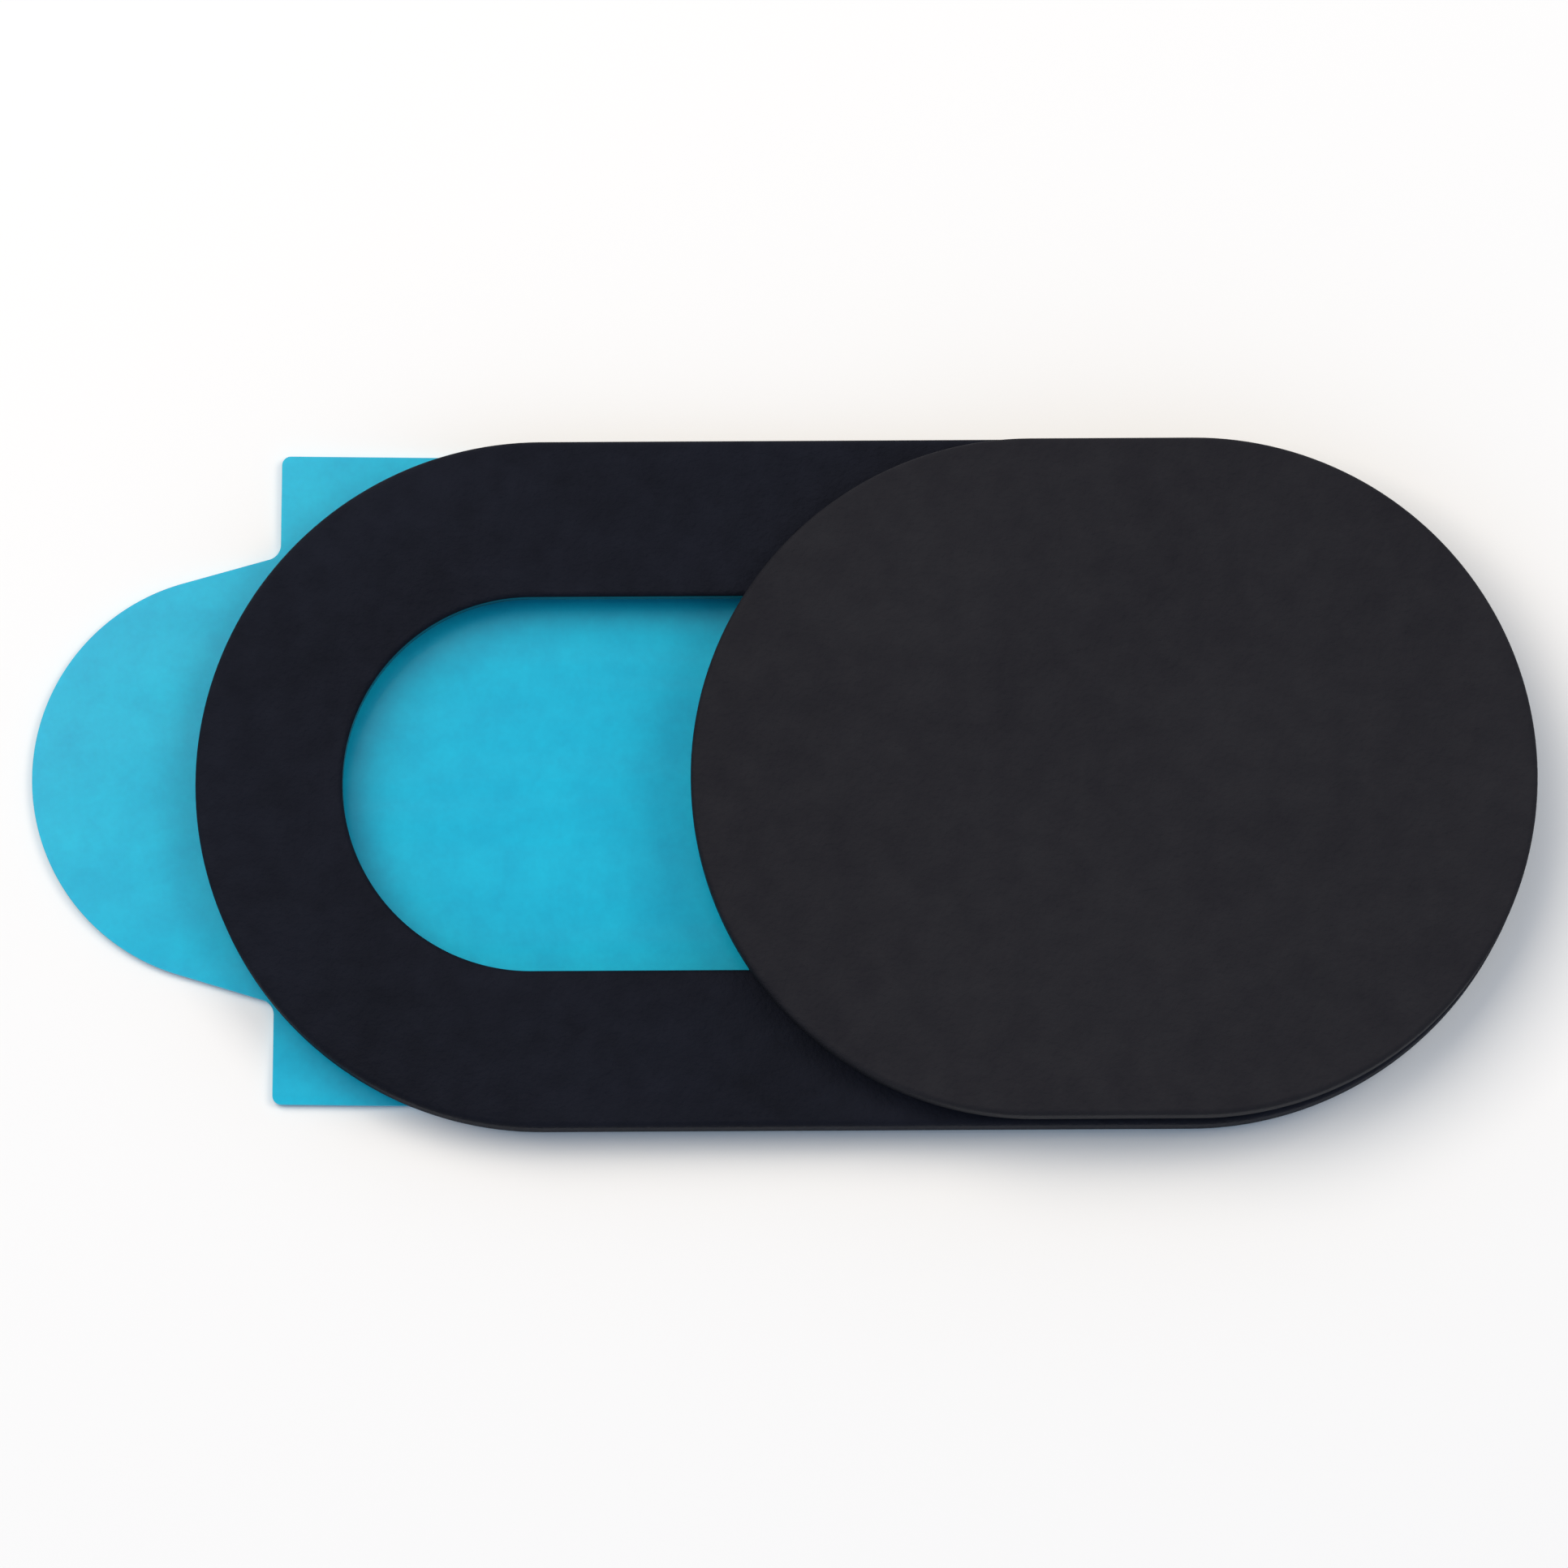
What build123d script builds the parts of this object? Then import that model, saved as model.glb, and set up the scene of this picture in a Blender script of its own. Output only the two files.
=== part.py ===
from build123d import *
import os
from math import cos, radians, sin

# Webcam cover slider: an oval base with a long window, a door that slides along the window,
# a ring of tape under the base and the film that keeps the tape clean until it is used.
# Millimetres. The origin is under the middle of the base, on the underside of the film.
# +X runs along the slide, towards the end where the door leaves the window open, and +Z points up.

# Base
base_length = 18.0
base_width = 9.3
base_edge_radius = 0.1
rim_width = 2.12  # beside the window, along the straight sides
end_rim_width = 1.98  # beside the window, at its round ends
window_edge_radius = 0.08
ledge_thickness = 0.3  # what stands over the rail
rail_height = 0.3
rail_depth = 0.35  # how far the rail is undercut, outwards from the window

# Door
door_length = 11.34
door_inset = 0.075  # how far the door's long sides lie inside the base's
door_thickness = 0.5
door_edge_radius = 0.08
neck_wall = 0.7  # wall left round the hollow that is cored out of the neck
lip_length = 4.4
lip_lead_in = 0.1  # slope that lets the lips snap past the ledge

# Running clearances between base and door
side_clearance = 0.05
lift_clearance = 0.05
stop_clearance = 0.05

# Tape under the base
tape_thickness = 0.15
tape_inset = 0.45  # from the outside of the base
tape_setback = 0.15  # from the rail, so that the lips never touch the tape

# Release film, with a tab to pull it off by
film_thickness = 0.1
film_inset = 0.24  # from the outside of the base
film_turn = -0.85  # degrees, as laid on by hand
film_shift = 0.05  # sideways, as laid on by hand
film_corner_radius = 0.12
shoulder_inset = 1.07  # from the end of the base to the film's square shoulders
shoulder_width = 1.37  # how far each shoulder stands out beside the tab
tab_length = 3.31  # from the shoulders to the tip
tab_flare = 16.2  # degrees, widening from the nose towards the shoulders
tab_root_radius = 0.2

# Heights, from the film upwards
base_bottom = film_thickness + tape_thickness
rail_roof = base_bottom + rail_height
base_top = rail_roof + ledge_thickness
door_bottom = base_top + lift_clearance
lip_bottom = base_bottom + lift_clearance
lip_top = rail_roof - lift_clearance

# Ovals, by the straight run between their end centres and by their width.
# The window and the rail under its ledge share their end centres.
base_straight = base_length - base_width
window_width = base_width - 2 * rim_width
window_straight = base_length - 2 * end_rim_width - window_width
rail_width = window_width + 2 * rail_depth

# The door travels until its end is flush with the base's end, where its neck meets the window's end.
# It stands open, at the +X end.
door_width = base_width - 2 * door_inset
door_straight = door_length - door_width
travel = base_length - door_length
door_x = travel / 2
neck_width = window_width - 2 * side_clearance
neck_straight = window_straight - travel + 2 * (side_clearance - stop_clearance)
lip_width = rail_width - 2 * side_clearance

# Base frame: the oval plate, its window and the rail undercut from below
with BuildPart() as base_frame:
    with BuildSketch(Plane.XY.offset(base_bottom)):
        SlotCenterToCenter(base_straight, base_width)
        SlotCenterToCenter(window_straight, window_width, mode=Mode.SUBTRACT)
    extrude(amount=base_top - base_bottom)
    with BuildSketch(Plane.XY.offset(base_bottom)):
        SlotCenterToCenter(window_straight, rail_width)
    extrude(amount=rail_height, mode=Mode.SUBTRACT)
    fillet(base_frame.faces().sort_by(Axis.Z)[-1].outer_wire().edges(), radius=base_edge_radius)
    fillet(base_frame.faces().sort_by(Axis.Z)[-1].inner_wires()[0].edges(), radius=window_edge_radius)
base_frame.part.label = "base_frame"

# Snap lips: a flange round the neck, sloped below, kept along the two long sides only
with BuildPart() as snap_lips:
    with BuildSketch(Plane((door_x, 0, lip_bottom))):
        SlotCenterToCenter(neck_straight, lip_width)
    extrude(amount=lip_top - lip_bottom)
    chamfer(snap_lips.faces().sort_by(Axis.Z)[0].edges(), length=lip_lead_in)
    with BuildSketch(Plane((door_x, 0, lip_bottom))):
        Rectangle(lip_length, lip_width)
    extrude(amount=lip_top - lip_bottom, mode=Mode.INTERSECT)

# Sliding door: the oval plate, the neck that runs in the window, its lips and its cored hollow
with BuildPart() as sliding_door:
    with BuildSketch(Plane((door_x, 0, door_bottom))):
        SlotCenterToCenter(door_straight, door_width)
    extrude(amount=door_thickness)
    fillet(sliding_door.faces().sort_by(Axis.Z)[-1].edges(), radius=door_edge_radius)
    with BuildSketch(Plane((door_x, 0, lip_bottom))):
        SlotCenterToCenter(neck_straight, neck_width)
    extrude(amount=door_bottom - lip_bottom)
    add(snap_lips.part)
    with BuildSketch(Plane((door_x, 0, lip_bottom))):
        SlotCenterToCenter(neck_straight, neck_width - 2 * neck_wall)
    extrude(amount=door_bottom - lip_bottom, mode=Mode.SUBTRACT)
sliding_door.part.label = "sliding_door"

# Adhesive ring: tape between the base and the film, clear of the rail
with BuildPart() as adhesive_ring:
    with BuildSketch(Plane.XY.offset(film_thickness)):
        SlotCenterToCenter(base_straight, base_width - 2 * tape_inset)
        SlotCenterToCenter(window_straight, rail_width + 2 * tape_setback, mode=Mode.SUBTRACT)
    extrude(amount=tape_thickness)
adhesive_ring.part.label = "adhesive_ring"

# Release liner: half of its outline runs from the tab's tip to the round end, and is mirrored.
# The nose is the arc that touches both flared sides of the tab and the tip.
film_half = base_width / 2 - film_inset
shoulder_x = shoulder_inset - base_length / 2
tab_root_half = film_half - shoulder_width
flare = radians(tab_flare)
nose_radius = (tab_root_half * cos(flare) - tab_length * sin(flare)) / (1 - sin(flare))
tab_tip = (shoulder_x - tab_length, 0)
nose_end = (tab_tip[0] + nose_radius * (1 - sin(flare)), nose_radius * cos(flare))
tab_root = (shoulder_x, tab_root_half)
film_corner = (shoulder_x, film_half)
round_start = (base_straight / 2, film_half)
round_end = (base_straight / 2 + film_half, 0)

with BuildPart() as release_liner:
    with BuildSketch(Plane((0, film_shift, 0)).rotated((0, 0, film_turn))):
        with BuildLine():
            RadiusArc(tab_tip, nose_end, nose_radius)
            FilletPolyline(
                nose_end, tab_root, film_corner, round_start, radius=[tab_root_radius, film_corner_radius]
            )
            RadiusArc(round_start, round_end, film_half)
            Line(round_end, tab_tip)
        make_face()
        mirror(about=Plane.XZ)
    extrude(amount=film_thickness)
release_liner.part.label = "release_liner"

os.makedirs("parts", exist_ok=True)
for piece in (base_frame, sliding_door, adhesive_ring, release_liner):
    export_step(piece.part, f"parts/{piece.part.label}.step")
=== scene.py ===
from math import copysign, cos, pi, radians, sin, tan

import bmesh
import bpy
from mathutils import Matrix, Vector


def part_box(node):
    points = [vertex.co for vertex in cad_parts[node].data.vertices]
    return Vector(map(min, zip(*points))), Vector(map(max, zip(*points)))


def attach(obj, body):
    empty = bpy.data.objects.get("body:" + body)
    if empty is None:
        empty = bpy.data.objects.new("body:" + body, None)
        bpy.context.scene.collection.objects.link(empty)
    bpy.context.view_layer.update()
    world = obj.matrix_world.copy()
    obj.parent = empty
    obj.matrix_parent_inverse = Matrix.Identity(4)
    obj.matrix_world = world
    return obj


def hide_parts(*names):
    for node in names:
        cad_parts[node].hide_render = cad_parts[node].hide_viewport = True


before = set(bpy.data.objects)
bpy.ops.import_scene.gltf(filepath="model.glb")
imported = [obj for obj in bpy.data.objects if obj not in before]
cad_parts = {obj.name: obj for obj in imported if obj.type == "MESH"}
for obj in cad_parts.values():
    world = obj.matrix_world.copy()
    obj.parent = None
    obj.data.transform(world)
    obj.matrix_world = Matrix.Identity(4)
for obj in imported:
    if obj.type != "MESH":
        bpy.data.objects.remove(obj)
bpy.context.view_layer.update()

# Sizes in metres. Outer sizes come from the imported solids, and the rest repeat the part's own values.
MM = 0.001
base_low, base_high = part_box("base_frame")
door_low, door_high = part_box("sliding_door")
tape_low, tape_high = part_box("adhesive_ring")
film_low, film_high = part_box("release_liner")

base_length = base_high.x - base_low.x
base_width = base_high.y - base_low.y
base_edge_radius = 0.10 * MM
rim_width = 2.12 * MM  # beside the window, along the straight sides
end_rim_width = 1.98 * MM  # beside the window, at its round ends
window_edge_radius = 0.08 * MM
rail_height = 0.30 * MM
rail_depth = 0.35 * MM  # how far the rail is undercut, outwards from the window

door_length = door_high.x - door_low.x
door_width = door_high.y - door_low.y
door_thickness = 0.50 * MM
door_edge_radius = 0.08 * MM
neck_wall = 0.70 * MM  # wall left round the hollow that is cored out of the neck
lip_length = 4.40 * MM
lip_lead_in = 0.10 * MM  # slope that lets the lips snap past the ledge
running_clearance = 0.05 * MM

tape_width = tape_high.y - tape_low.y
tape_setback = 0.15 * MM  # from the rail

film_thickness = film_high.z - film_low.z
film_inset = 0.24 * MM  # from the outside of the base
film_turn = radians(-0.85)  # the film lies a little askew
film_shift = 0.05 * MM  # sideways
film_corner_radius = 0.12 * MM
shoulder_inset = 1.07 * MM  # from the end of the base to the film's square shoulders
shoulder_width = 1.37 * MM  # how far each shoulder stands out beside the tab
tab_length = 3.31 * MM  # from the shoulders to the tip
tab_flare = radians(16.2)  # widening from the nose towards the shoulders
tab_root_radius = 0.20 * MM

broken_edge = 0.02 * MM  # what a moulded edge keeps where the drawing shows it sharp

# Fineness of the meshes
arc_steps = 96  # along a round end
edge_steps = 6  # across a rounded edge
fine_edge_steps = 2  # across a broken edge
chamfer_steps = 1
corner_steps = 8  # round a corner of the film
floor_steps = 96
weld_distance = 1e-7
crease_angle = radians(35)
flat_face_weight = 100
upright = 0.3  # a face whose normal rises by less than this is a wall

# Ovals, by the straight run between their end centres and by their width
base_straight = base_length - base_width
window_width = base_width - 2 * rim_width
window_straight = base_length - 2 * end_rim_width - window_width
rail_width = window_width + 2 * rail_depth
door_straight = door_length - door_width
door_x = (door_low.x + door_high.x) / 2
travel = base_length - door_length
neck_width = window_width - 2 * running_clearance
neck_straight = window_straight - travel
lip_reach = rail_depth - running_clearance

# Heights
rail_roof = base_low.z + rail_height
door_bottom = door_high.z - door_thickness
lip_top = rail_roof - running_clearance


# Shaping helpers
def parts_of(result, kind):
    """The vertices, edges or faces among what an operator returns."""
    return [item for item in result if isinstance(item, kind)]


def arc(bm, first, middle, angle):
    """Spins a vertex round an upright axis into an arc of edges, and returns the arc's last vertex."""
    turned = bmesh.ops.spin(
        bm, geom=[first], cent=middle, axis=(0, 0, 1), angle=angle, steps=arc_steps, use_duplicate=False
    )
    return parts_of(turned["geom_last"], bmesh.types.BMVert)[0]


def oval(bm, straight, width, height, center):
    """A closed ring of edges: two half circles and the two straight runs between them."""
    known = set(bm.edges)
    ends = []
    for side in (1, -1):
        middle = Vector((center + side * straight / 2, 0, height))
        first = bm.verts.new(middle - Vector((0, side * width / 2, 0)))
        ends.append((first, arc(bm, first, middle, pi)))
    bm.edges.new((ends[0][1], ends[1][0]))
    bm.edges.new((ends[1][1], ends[0][0]))
    return [edge for edge in bm.edges if edge not in known]


def oval_walls(bm, ovals, center=0.0):
    """Draws the first oval, extrudes it through the others and returns their rings of edges.

    An oval is given by its straight run, its width and its height.
    """
    rings = [oval(bm, *ovals[0], center)]
    for (straight, width, _), (next_straight, next_width, next_height) in zip(ovals, ovals[1:]):
        drawn = bmesh.ops.extrude_edge_only(bm, edges=rings[-1])["geom"]
        corners = set(parts_of(drawn, bmesh.types.BMVert))
        growth = next_width / width
        for corner in corners:
            side = copysign(0.5, corner.co.x - center)
            overhang = corner.co.x - center - side * straight
            next_x = center + side * next_straight + overhang * growth
            corner.co = (next_x, corner.co.y * growth, next_height)
        edges = parts_of(drawn, bmesh.types.BMEdge)
        rings.append([edge for edge in edges if corners.issuperset(edge.verts)])
    return rings


def closed_walls(bm, ovals):
    """Walls through the ovals and back to the first one, and the rings of all but the first."""
    rings = oval_walls(bm, ovals + ovals[:1])
    bmesh.ops.remove_doubles(bm, verts=bm.verts, dist=weld_distance)
    return rings[1:-1]


def round_off(bm, items, size, steps, affect="EDGES"):
    """Rounds edges, or the corners of a flat outline, by a bevel of a given size."""
    bmesh.ops.bevel(
        bm,
        geom=items,
        offset=size,
        offset_type="OFFSET",
        segments=steps,
        profile=0.5,
        affect=affect,
        clamp_overlap=True,
        material=-1,
    )


def finished(bm, name, body, node, slot, *materials):
    """Turns a bmesh into a smooth-shaded piece that stands for a CAD node and rides on its body."""
    bmesh.ops.recalc_face_normals(bm, faces=bm.faces)
    mesh = bpy.data.meshes.new(name)
    bm.to_mesh(mesh)
    bm.free()
    mesh.shade_smooth()
    mesh.set_sharp_from_angle(angle=crease_angle)
    for material in materials:
        mesh.materials.append(material)
    piece = bpy.data.objects.new(name, mesh)
    bpy.context.scene.collection.objects.link(piece)
    weighted = piece.modifiers.new("flat faces stay flat", "WEIGHTED_NORMAL")
    weighted.keep_sharp = True
    weighted.weight = flat_face_weight
    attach(piece, body)
    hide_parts(node)


# Material helpers
def add_node(tree, kind, inputs, **properties):
    """A node with its own properties, and then with values on its input sockets."""
    node = tree.nodes.new(kind)
    for name, value in properties.items():
        setattr(node, name, value)
    for name, value in inputs.items():
        node.inputs[name].default_value = value
    return node


def noise(tree, detail, roughness, scale=1.0, stretch=(1.0, 1.0, 1.0)):
    """A noise texture on the piece's own coordinates, drawn out where stretch is below one.

    The scale is in cells a metre, and a link to its socket takes its place.
    """
    place = tree.nodes.new("ShaderNodeTexCoord")
    laid = add_node(tree, "ShaderNodeMapping", {"Scale": stretch})
    values = {"Scale": scale, "Detail": detail, "Roughness": roughness}
    texture = add_node(tree, "ShaderNodeTexNoise", values)
    tree.links.new(place.outputs["Object"], laid.inputs["Vector"])
    tree.links.new(laid.outputs["Vector"], texture.inputs["Vector"])
    return texture


def spark_grain():
    """The grain of a spark-eroded mould, as a node group that each moulded plastic uses.

    It takes the scales of its fine grain, its mottle and its slow drift. It puts out the grain's height,
    the tone that mottle and drift give, and the drift of its gloss.
    """
    group = bpy.data.node_groups.new("spark grain", "ShaderNodeTree")
    for name in ("Grain", "Mottle", "Drift"):
        group.interface.new_socket(name, in_out="INPUT", socket_type="NodeSocketFloat")
    for name in ("Height", "Tone", "Gloss"):
        group.interface.new_socket(name, in_out="OUTPUT", socket_type="NodeSocketFloat")
    given = group.nodes.new("NodeGroupInput")
    result = group.nodes.new("NodeGroupOutput")
    grain = noise(group, detail=2.0, roughness=0.6)
    mottle = noise(group, detail=3.0, roughness=0.6)
    drift = noise(group, detail=1.0, roughness=0.5)
    tone = add_node(group, "ShaderNodeMix", {"Factor": 0.5}, data_type="FLOAT")
    group.links.new(given.outputs["Grain"], grain.inputs["Scale"])
    group.links.new(given.outputs["Mottle"], mottle.inputs["Scale"])
    group.links.new(given.outputs["Drift"], drift.inputs["Scale"])
    group.links.new(mottle.outputs["Fac"], tone.inputs["A"])
    group.links.new(drift.outputs["Fac"], tone.inputs["B"])
    group.links.new(grain.outputs["Fac"], result.inputs["Height"])
    group.links.new(tone.outputs["Result"], result.inputs["Tone"])
    group.links.new(drift.outputs["Fac"], result.inputs["Gloss"])
    return group


def new_material(name, sockets):
    """A material, its node tree and its Principled shader, with values on the shader's own sockets."""
    material = bpy.data.materials.new(name)
    material.use_nodes = True
    shader = material.node_tree.nodes["Principled BSDF"]
    for socket, value in sockets.items():
        shader.inputs[socket].default_value = value
    return material, material.node_tree, shader


def dress(tree, shader, height, tone, gloss, colours, roughness, relief):
    """Leads a height, a tone and a gloss to the shader, over a range of colour, roughness and relief."""
    colour = add_node(tree, "ShaderNodeMix", {"A": colours[0], "B": colours[1]}, data_type="RGBA")
    rough = add_node(tree, "ShaderNodeMapRange", {"To Min": roughness[0], "To Max": roughness[1]})
    bump = add_node(tree, "ShaderNodeBump", {"Strength": 1.0, "Distance": relief})
    tree.links.new(tone, colour.inputs["Factor"])
    tree.links.new(gloss, rough.inputs["Value"])
    tree.links.new(height, bump.inputs["Height"])
    tree.links.new(colour.outputs["Result"], shader.inputs["Base Color"])
    tree.links.new(rough.outputs["Result"], shader.inputs["Roughness"])
    tree.links.new(bump.outputs["Normal"], shader.inputs["Normal"])


def moulded_plastic(name, group, scales, colours, roughness, relief, specular):
    """Black plastic from a spark-eroded mould."""
    material, tree, shader = new_material(name, {"Specular IOR Level": specular})
    grain = add_node(tree, "ShaderNodeGroup", scales, node_tree=group).outputs
    dress(tree, shader, grain["Height"], grain["Tone"], grain["Gloss"], colours, roughness, relief)
    return material


def drawn_film(name, colours, roughness, relief, specular):
    """Satin film with faint lines along the way that it was drawn."""
    material, tree, shader = new_material(name, {"Specular IOR Level": specular})
    lines = noise(tree, detail=2.0, roughness=0.6, scale=3500.0, stretch=(0.03, 1.0, 1.0)).outputs["Fac"]
    clouds = noise(tree, detail=4.0, roughness=0.9, scale=1100.0).outputs["Fac"]
    dress(tree, shader, lines, clouds, lines, colours, roughness, relief)
    return material


def sticky_tape(name, colours, roughness, relief):
    """Tape with a tacky, slightly cloudy skin."""
    material, tree, shader = new_material(name, {})
    skin = noise(tree, detail=2.0, roughness=0.6, scale=9000.0).outputs["Fac"]
    clouds = noise(tree, detail=2.0, roughness=0.5, scale=600.0).outputs["Fac"]
    dress(tree, shader, skin, clouds, clouds, colours, roughness, relief)
    return material


# Pieces
def base_moulding(grained, polished):
    """The oval base, with its window and the rail undercut below the window's ledge."""
    bm = bmesh.new()
    rings = closed_walls(
        bm,
        [
            (base_straight, base_width, base_low.z),
            (base_straight, base_width, base_high.z),
            (window_straight, window_width, base_high.z),
            (window_straight, window_width, rail_roof),
            (window_straight, rail_width, rail_roof),
            (window_straight, rail_width, base_low.z),
        ],
    )
    outer_top, window_top, ledge_foot = rings[:3]
    round_off(bm, outer_top, base_edge_radius, edge_steps)
    round_off(bm, window_top, window_edge_radius, edge_steps)
    round_off(bm, ledge_foot, broken_edge, fine_edge_steps)
    polish_window(bm)
    finished(bm, "base_moulding", "base", "base_frame", "base_plastic", grained, polished)


def polish_window(bm):
    """Gives the window's upright walls the second finish, because the mould is polished there."""
    bm.normal_update()
    for face in bm.faces:
        middle = face.calc_center_median()
        past_run = max(abs(middle.x) - window_straight / 2, 0.0)
        in_window = Vector((past_run, middle.y)).length < window_width / 2 + window_edge_radius
        if in_window and middle.z > rail_roof and abs(face.normal.z) < upright:
            face.material_index = 1


def door_moulding(material):
    """The sliding door: plate, neck, snap lips and the hollow cored out of the neck."""
    bm = bmesh.new()
    hollow_width = neck_width - 2 * neck_wall
    rings = oval_walls(
        bm,
        [
            (door_straight, door_width, door_high.z),
            (door_straight, door_width, door_bottom),
            (neck_straight, neck_width, door_bottom),
            (neck_straight, neck_width, lip_top),
            (neck_straight, neck_width, door_low.z),
            (neck_straight, hollow_width, door_low.z),
            (neck_straight, hollow_width, door_bottom),
        ],
        door_x,
    )
    plate_top, plate_foot, hollow_roof = rings[0], rings[1], rings[-1]
    bmesh.ops.contextual_create(bm, geom=plate_top)
    bmesh.ops.contextual_create(bm, geom=hollow_roof)
    snap_lips(bm)
    round_off(bm, plate_top, door_edge_radius, edge_steps)
    round_off(bm, plate_foot, broken_edge, fine_edge_steps)
    finished(bm, "door_moulding", "door", "sliding_door", "door_plastic", material)


def snap_lips(bm):
    """Draws the two lips out of the neck's sides, between their ends, with a lead-in slope below."""

    def on_neck_band(face):
        middle = face.calc_center_median()
        return door_low.z < middle.z < lip_top and abs(middle.y) > neck_width / 2 - neck_wall / 2

    for side in (1, -1):
        band = [face for face in bm.faces if on_neck_band(face)]
        bmesh.ops.bisect_plane(
            bm,
            geom=band + list({edge for face in band for edge in face.edges}),
            plane_co=(door_x + side * lip_length / 2, 0, 0),
            plane_no=(1, 0, 0),
        )
    bm.normal_update()
    lips = [
        face
        for face in bm.faces
        if on_neck_band(face) and abs(face.calc_center_median().x - door_x) < lip_length / 2
    ]
    drawn = bmesh.ops.extrude_face_region(bm, geom=lips)["geom"]
    corners = parts_of(drawn, bmesh.types.BMVert)
    bmesh.ops.delete(bm, geom=lips, context="FACES_ONLY")
    for corner in corners:
        axis_x = min(max(corner.co.x, door_x - neck_straight / 2), door_x + neck_straight / 2)
        outwards = Vector((corner.co.x - axis_x, corner.co.y, 0)).normalized()
        corner.co += outwards * lip_reach
    lower = {corner for corner in corners if abs(corner.co.z - door_low.z) < running_clearance / 2}
    slope = [edge for edge in bm.edges if lower.issuperset(edge.verts)]
    round_off(bm, slope, lip_lead_in, chamfer_steps)


def tape_ring(material):
    """The die-cut ring of tape between the base and the film."""
    bm = bmesh.new()
    inner_width = rail_width + 2 * tape_setback
    closed_walls(
        bm,
        [
            (base_straight, tape_width, tape_low.z),
            (base_straight, tape_width, tape_high.z),
            (window_straight, inner_width, tape_high.z),
            (window_straight, inner_width, tape_low.z),
        ],
    )
    finished(bm, "tape_ring", "base", "adhesive_ring", "tape", material)


def release_film(material):
    """The release film: round at one end, with square shoulders and a round-nosed tab at the other."""
    film_half = base_width / 2 - film_inset
    shoulder_x = shoulder_inset - base_length / 2
    root_half = film_half - shoulder_width
    nose_radius = (root_half * cos(tab_flare) - tab_length * sin(tab_flare)) / (1 - sin(tab_flare))
    nose_x = shoulder_x - tab_length + nose_radius
    round_x = base_straight / 2

    # The outline runs counter-clockwise, from the nose along the lower side to the round end and back.
    bm = bmesh.new()
    nose_first = bm.verts.new((nose_x - nose_radius * sin(tab_flare), nose_radius * cos(tab_flare), 0))
    nose_last = arc(bm, nose_first, (nose_x, 0, 0), pi - 2 * tab_flare)
    lower_root = bm.verts.new((shoulder_x, -root_half, 0))
    lower_corner = bm.verts.new((shoulder_x, -film_half, 0))
    round_first = bm.verts.new((round_x, -film_half, 0))
    round_last = arc(bm, round_first, (round_x, 0, 0), pi)
    upper_corner = bm.verts.new((shoulder_x, film_half, 0))
    upper_root = bm.verts.new((shoulder_x, root_half, 0))
    for path in (
        (nose_last, lower_root, lower_corner, round_first),
        (round_last, upper_corner, upper_root, nose_first),
    ):
        for first, second in zip(path, path[1:]):
            bm.edges.new((first, second))
    bmesh.ops.contextual_create(bm, geom=list(bm.edges))

    # A corner's cut is measured along its sides, from the corner to where the arc begins.
    root_turn = pi / 2 - tab_flare
    root_cut = tab_root_radius * tan(root_turn / 2)
    round_off(bm, (lower_root, upper_root), root_cut, corner_steps, affect="VERTICES")
    round_off(bm, (lower_corner, upper_corner), film_corner_radius, corner_steps, affect="VERTICES")

    raised = bmesh.ops.extrude_face_region(bm, geom=list(bm.faces))["geom"]
    bmesh.ops.translate(bm, verts=parts_of(raised, bmesh.types.BMVert), vec=(0, 0, film_thickness))
    laid = Matrix.Translation((0, film_shift, film_low.z)) @ Matrix.Rotation(film_turn, 4, "Z")
    bmesh.ops.transform(bm, matrix=laid, verts=bm.verts)
    finished(bm, "release_film", "base", "release_liner", "film", material)


# Finishes. Scales are in cells a metre, and reliefs in metres.
base_scales = {"Grain": 13000.0, "Mottle": 2600.0, "Drift": 420.0}
base_tones = ((0.0006, 0.0010, 0.0034, 1.0), (0.0124, 0.0142, 0.0239, 1.0))
door_scales = {"Grain": 12000.0, "Mottle": 2300.0, "Drift": 380.0}
door_tones = ((0.0046, 0.0042, 0.0082, 1.0), (0.0226, 0.0222, 0.0262, 1.0))
film_tones = ((0.005, 0.334, 0.551, 1.0), (0.007, 0.549, 0.775, 1.0))
tape_tones = ((0.66, 0.66, 0.60, 1.0), (0.74, 0.74, 0.69, 1.0))

mould_grain = spark_grain()
base_black = moulded_plastic(
    "blue-black moulded plastic",
    mould_grain,
    base_scales,
    base_tones,
    roughness=(0.72, 0.84),
    relief=22.0e-6,
    specular=0.10,
)
base_polished = moulded_plastic(
    "blue-black polished plastic",
    mould_grain,
    base_scales,
    base_tones,
    roughness=(0.22, 0.28),
    relief=1.0e-6,
    specular=0.40,
)
door_black = moulded_plastic(
    "warm black moulded plastic",
    mould_grain,
    door_scales,
    door_tones,
    roughness=(0.70, 0.82),
    relief=20.0e-6,
    specular=0.12,
)
film_blue = drawn_film(
    "blue release film",
    film_tones,
    roughness=(0.13, 0.20),
    relief=0.6e-6,
    specular=0.30,
)
tape_pale = sticky_tape(
    "pale sticky tape",
    tape_tones,
    roughness=(0.35, 0.50),
    relief=3.0e-6,
)

base_moulding(base_black, base_polished)
door_moulding(door_black)
tape_ring(tape_pale)
release_film(film_blue)

# Floor, just under the film
floor_gap = 0.02 * MM
floor_radius = 1.5
floor_colour = (0.93, 0.93, 0.93, 1.0)
floor_roughness = 0.9

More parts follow.
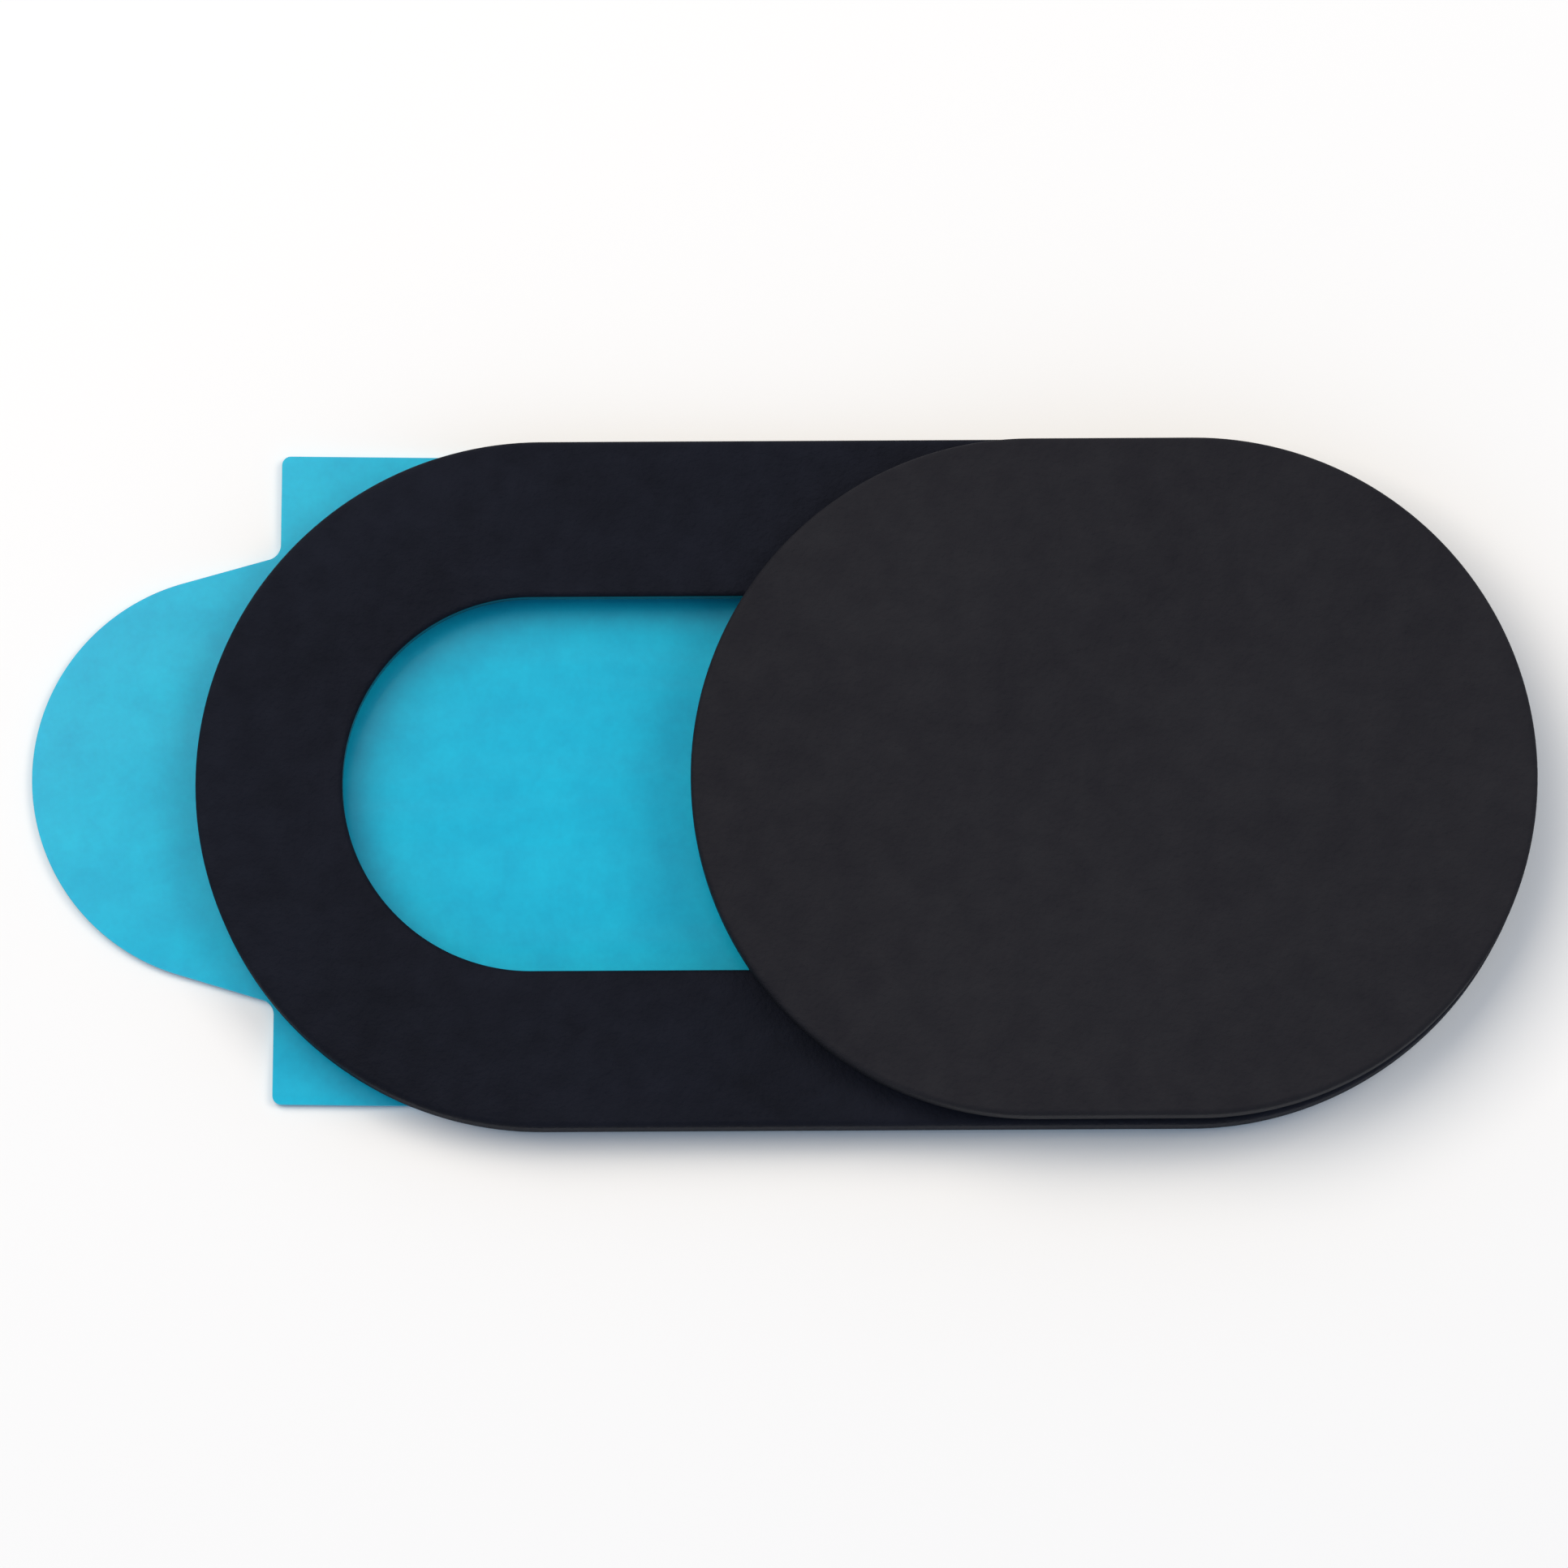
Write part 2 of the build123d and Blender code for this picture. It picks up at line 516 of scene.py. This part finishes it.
floor_white, _, _ = new_material(
    "white floor",
    {"Base Color": floor_colour, "Roughness": floor_roughness, "Specular IOR Level": 0.0},
)
floor_shape = bmesh.new()
bmesh.ops.create_circle(floor_shape, cap_ends=True, radius=floor_radius, segments=floor_steps)
bmesh.ops.translate(floor_shape, verts=floor_shape.verts, vec=(0, 0, film_low.z - floor_gap))
floor_mesh = bpy.data.meshes.new("floor")
floor_shape.to_mesh(floor_mesh)
floor_shape.free()
floor_mesh.materials.append(floor_white)
floor = bpy.data.objects.new("floor", floor_mesh)
bpy.context.scene.collection.objects.link(floor)

# Light: two warm softboxes in a slightly cool room
softbox_distance = 0.20
softbox_colour = (1.14, 1.01, 0.84)
room_colour = (0.76, 0.97, 1.27, 1.0)
room_strength = 0.385


def softbox(name, direction, size, power):
    """A square soft light that faces the object from a direction."""
    lamp = bpy.data.lights.new(name, "AREA")
    lamp.shape = "SQUARE"
    lamp.size = size
    lamp.color = softbox_colour
    lamp.energy = power
    holder = bpy.data.objects.new(name, lamp)
    towards = Vector(direction).normalized()
    holder.location = towards * softbox_distance
    holder.rotation_euler = (-towards).to_track_quat("-Z", "Y").to_euler()
    bpy.context.scene.collection.objects.link(holder)


softbox("left softbox", direction=(-0.42, 0.30, 0.856), size=0.15, power=0.252)
softbox("right softbox", direction=(0.53, 0.20, 0.824), size=0.10, power=0.108)

room = bpy.data.worlds.new("soft room")
room.use_nodes = True
background = room.node_tree.nodes["Background"]
background.inputs["Color"].default_value = room_colour
background.inputs["Strength"].default_value = room_strength
bpy.context.scene.world = room

# Camera, fitted to the photograph's square frame
frame_pixels = 1932
pixels_per_mm = 91.76  # at the top of the base
camera_distance = 150 * MM
camera_tilt = radians(7.4)
camera_roll = radians(-0.3)
camera_target = Vector((-1.09 * MM, -0.03 * MM, base_high.z))
nearest_seen = 10 * MM
farthest_seen = 10.0

optics = bpy.data.cameras.new("camera")
frame_width = frame_pixels / pixels_per_mm * MM
optics.lens = optics.sensor_width * camera_distance / frame_width
optics.clip_start = nearest_seen
optics.clip_end = farthest_seen
camera = bpy.data.objects.new("camera", optics)
back = Vector((0, -sin(camera_tilt), cos(camera_tilt)))
turned = (-back).to_track_quat("-Z", "Y").to_matrix().to_4x4() @ Matrix.Rotation(camera_roll, 4, "Z")
camera.matrix_world = Matrix.Translation(camera_target + back * camera_distance) @ turned
bpy.context.scene.collection.objects.link(camera)
bpy.context.scene.camera = camera

bpy.context.scene.view_settings.view_transform = "Standard"
